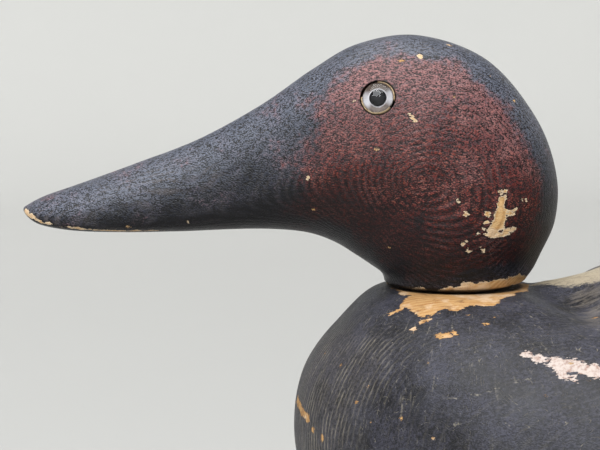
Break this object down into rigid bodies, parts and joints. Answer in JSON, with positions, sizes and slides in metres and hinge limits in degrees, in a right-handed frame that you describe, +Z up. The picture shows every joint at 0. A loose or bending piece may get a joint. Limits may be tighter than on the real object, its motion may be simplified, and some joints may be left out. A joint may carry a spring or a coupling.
{
  "type": "floating duck decoy",
  "caption": "Hollow carved wooden diving-duck decoy with glass eyes, a head that turns on a dowel, a ballasted keel and a ring for its line.",
  "frame": {"origin": "under the middle of the bounding box, at the bottom face of the keel", "axes": "+Z up, -X towards the bill, -Y towards the duck's left side"},
  "size_m": [0.446, 0.1836, 0.2077],
  "materials": {
    "head_paint": "worn chestnut paint over carved wood, satin",
    "body_paint": "worn hand-brushed paint over carved wood, satin",
    "bottom_paint": "worn pale paint over carved wood, matte",
    "bare_wood": "bare softwood, matte",
    "keel_paint": "worn grey paint over wood, matte",
    "white_lead": "dried white lead putty, matte",
    "clear_glass": "polished",
    "black_glass": "polished",
    "steel": "dull, lightly rusted",
    "lead": "dull lead, oxidised",
    "brass": "tarnished"
  },
  "bodies": {
    "hull": {"body_top": "body_paint", "body_bottom": "bottom_paint", "seam_bedding": "white_lead", "seam_dowel_1": "bare_wood", "seam_dowel_2": "bare_wood", "seam_dowel_3": "bare_wood", "seam_dowel_4": "bare_wood", "body_nail_1": "steel", "body_nail_2": "steel", "body_nail_3": "steel", "body_nail_4": "steel", "body_nail_5": "steel", "body_nail_6": "steel", "keel": "keel_paint", "ballast": "lead", "keel_screw_1": "brass", "keel_screw_2": "brass", "keel_screw_3": "brass", "keel_screw_4": "brass", "ballast_nail_1": "steel", "ballast_nail_2": "steel", "line_eye": "brass"},
    "head": {"head_block": "head_paint", "neck_dowel": "bare_wood", "neck_washer": "steel", "neck_screw": "steel", "eye_glass_left": "clear_glass", "eye_pupil_left": "black_glass", "eye_putty_left": "white_lead", "eye_wire_left": "steel", "eye_glass_right": "clear_glass", "eye_pupil_right": "black_glass", "eye_putty_right": "white_lead", "eye_wire_right": "steel"},
    "line_ring": {"line_ring": "brass"}
  },
  "joints": [
    {"name": "head_turn", "type": "hinge", "parent": "hull", "child": "head", "pos_m": [-0.085, 0, 0.128], "axis": [0, 0, 1], "range_deg": [-180, 180]},
    {"name": "ring_swing", "type": "hinge", "parent": "hull", "child": "line_ring", "pos_m": [-0.1125, 0, 0.02273], "axis": [0, 1, 0], "range_deg": [-80, 80]}
  ]
}
